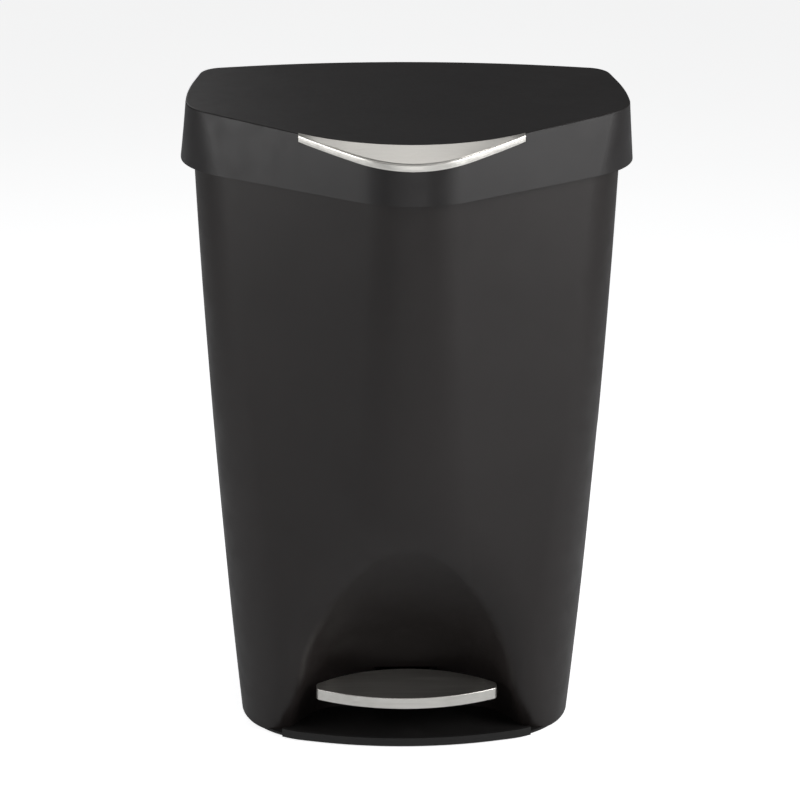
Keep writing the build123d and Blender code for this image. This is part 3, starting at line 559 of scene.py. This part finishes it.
def seen_or_glow(nodes, links, kind, seen, glow, tint):
    """A white light of one strength to the camera, and a tinted one of another to everything else."""
    shaders = []
    for colour, strength in ((tint, glow), ((1, 1, 1, 1), seen)):
        node = nodes.new(kind)
        node.inputs["Color"].default_value = colour
        node.inputs["Strength"].default_value = strength
        shaders.append(node)
    path = nodes.new("ShaderNodeLightPath")
    mix = nodes.new("ShaderNodeMixShader")
    links.new(path.outputs["Is Camera Ray"], mix.inputs["Fac"])
    links.new(shaders[0].outputs[0], mix.inputs[1])
    links.new(shaders[1].outputs[0], mix.inputs[2])
    return mix


def make_floor():
    """A plain pale floor."""
    corners = [(-1, -1), (1, -1), (1, 1), (-1, 1)]
    mesh = bpy.data.meshes.new("floor")
    mesh.from_pydata([(x * FLOOR_HALF, y * FLOOR_HALF, 0) for x, y in corners], [], [(0, 1, 2, 3)])
    floor = bpy.data.objects.new("floor", mesh)
    bpy.context.scene.collection.objects.link(floor)
    material, nodes, links, principled = shader("floor", 0.7, specular=0.2)
    tone = noise(nodes, links, 2.0, 2.0)
    links.new(ramp(nodes, links, tone, (0.78, 0.79, 0.8), (0.8, 0.81, 0.82)), principled.inputs["Base Color"])
    light = seen_or_glow(nodes, links, "ShaderNodeEmission", FLOOR_SEEN, FLOOR_GLOW,
                         (0.94, 0.98, 1, 1))
    both = nodes.new("ShaderNodeAddShader")
    links.new(light.outputs["Shader"], both.inputs[0])
    links.new(principled.outputs["BSDF"], both.inputs[1])
    links.new(both.outputs["Shader"], nodes["Material Output"].inputs["Surface"])
    mesh.materials.append(material)


def make_world():
    """White seen by the camera, dimmer as light, so that dark plastic keeps its depth."""
    world = bpy.data.worlds.new("world")
    bpy.context.scene.world = world
    world.use_nodes = True
    nodes = world.node_tree.nodes
    links = world.node_tree.links
    nodes.clear()
    out = nodes.new("ShaderNodeOutputWorld")
    mix = seen_or_glow(nodes, links, "ShaderNodeBackground", SKY_SEEN, SKY_GLOW, (1, 1, 1, 1))
    links.new(mix.outputs["Shader"], out.inputs["Surface"])


def softbox(name, place, aim, size, power):
    """A rectangular area light that looks at a point."""
    light = bpy.data.lights.new(name, "AREA")
    light.shape = "RECTANGLE"
    light.size, light.size_y = size
    light.energy = power
    lamp = bpy.data.objects.new(name, light)
    bpy.context.scene.collection.objects.link(lamp)
    lamp.location = place
    lamp.rotation_euler = (Vector(aim) - Vector(place)).to_track_quat("-Z", "Y").to_euler()


# name, place, the point it looks at, size and watts
LAMPS = (("left_box", (-1.7, -0.7, 0.85), (0, -0.05, 0.45), (0.9, 0.5), 11),
         ("right_box", (1.7, -0.8, 0.85), (0, -0.05, 0.45), (0.9, 0.5), 14),
         ("high_right_box", (1.6, -0.8, 1.5), (0, -0.05, 0.45), (0.9, 0.6), 13),
         ("front_box", (0.0, -2.3, 0.45), (0, 0, 0.3), (1.6, 0.6), 6),
         ("top_box", (0.0, 0.4, 2.6), (0, 0, 0.5), (1.5, 1.1), 6),
         ("back_box", (-0.75, 1.9, 1.7), (-0.15, 0, 0.7), (0.6, 0.7), 3))
CAMERA_FAR = 3.2             # from the camera to the point it looks at
CAMERA_TARGET = (-0.00731, 0.0, 0.37806)
CAMERA_TURN = -1.907         # degrees
CAMERA_RAISED = 19.71
CAMERA_ROLL = 0.426


def make_camera():
    """A camera a little above the bin's front, with a long lens."""
    turn, raised, roll = (math.radians(a) for a in (CAMERA_TURN, CAMERA_RAISED, CAMERA_ROLL))
    level = math.cos(raised)
    back = Vector((math.sin(turn) * level, -math.cos(turn) * level, math.sin(raised)))
    right = (-back).cross(Vector((0, 0, 1))).normalized()
    up = right.cross(-back)
    side = right * math.cos(roll) + up * math.sin(roll)
    top = up * math.cos(roll) - right * math.sin(roll)
    camera = bpy.data.cameras.new("camera")
    camera.sensor_width = 36.0
    camera.lens = 126.38
    camera.clip_end = 50.0
    holder = bpy.data.objects.new("camera", camera)
    bpy.context.scene.collection.objects.link(holder)
    place = Matrix((side, top, back)).transposed().to_4x4()
    place.translation = Vector(CAMERA_TARGET) + back * CAMERA_FAR
    holder.matrix_world = place
    bpy.context.scene.camera = holder


make_floor()
make_world()
for lamp in LAMPS:
    softbox(*lamp)
make_camera()
bpy.context.scene.view_settings.view_transform = "Standard"
